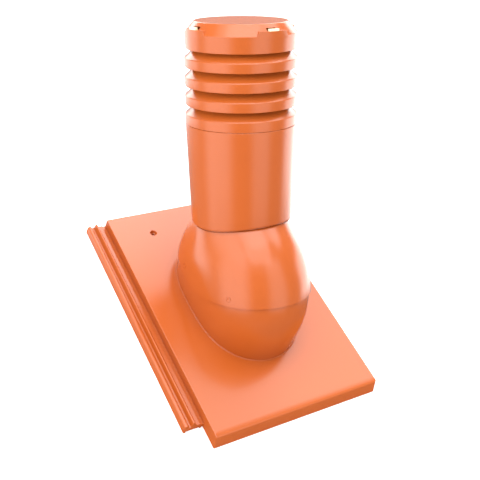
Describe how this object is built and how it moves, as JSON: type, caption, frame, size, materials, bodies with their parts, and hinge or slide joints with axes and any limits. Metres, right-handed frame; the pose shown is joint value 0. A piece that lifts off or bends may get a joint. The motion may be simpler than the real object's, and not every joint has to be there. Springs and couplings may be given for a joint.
{
  "type": "roof vent pipe",
  "caption": "Orange plastic roof vent: an interlocking flat tile with a domed tilting hood, a tapered round pipe, louvred sides near its top and a flat pressed-on cap.",
  "frame": {"origin": "middle of the overall box at the level of the tile's flat underside", "axes": "+Z square to the tile and up, -Y towards the tile's front edge, the lower one on a roof, +X to the right seen from that edge"},
  "size_m": [0.333, 0.5057, 0.4549],
  "materials": {
    "tile_plastic": "terracotta orange, moulded, semi-gloss",
    "hood_plastic": "terracotta orange, moulded, semi-gloss",
    "sleeve_plastic": "terracotta orange, moulded, semi-gloss",
    "louvre_plastic": "terracotta orange, moulded, semi-gloss",
    "cap_plastic": "terracotta orange, moulded, semi-gloss"
  },
  "bodies": {
    "tile": {"roof_tile_base": "tile_plastic"},
    "hood": {"tilting_hood": "hood_plastic", "tapered_sleeve": "sleeve_plastic", "louvre_head": "louvre_plastic", "louvre_cap": "cap_plastic"}
  },
  "joints": [
    {"name": "hood_tilt", "type": "hinge", "parent": "tile", "child": "hood", "pos_m": [0.016, -0.0218, 0.062], "axis": [1, 0, 0], "range_deg": [-12, 15]}
  ]
}
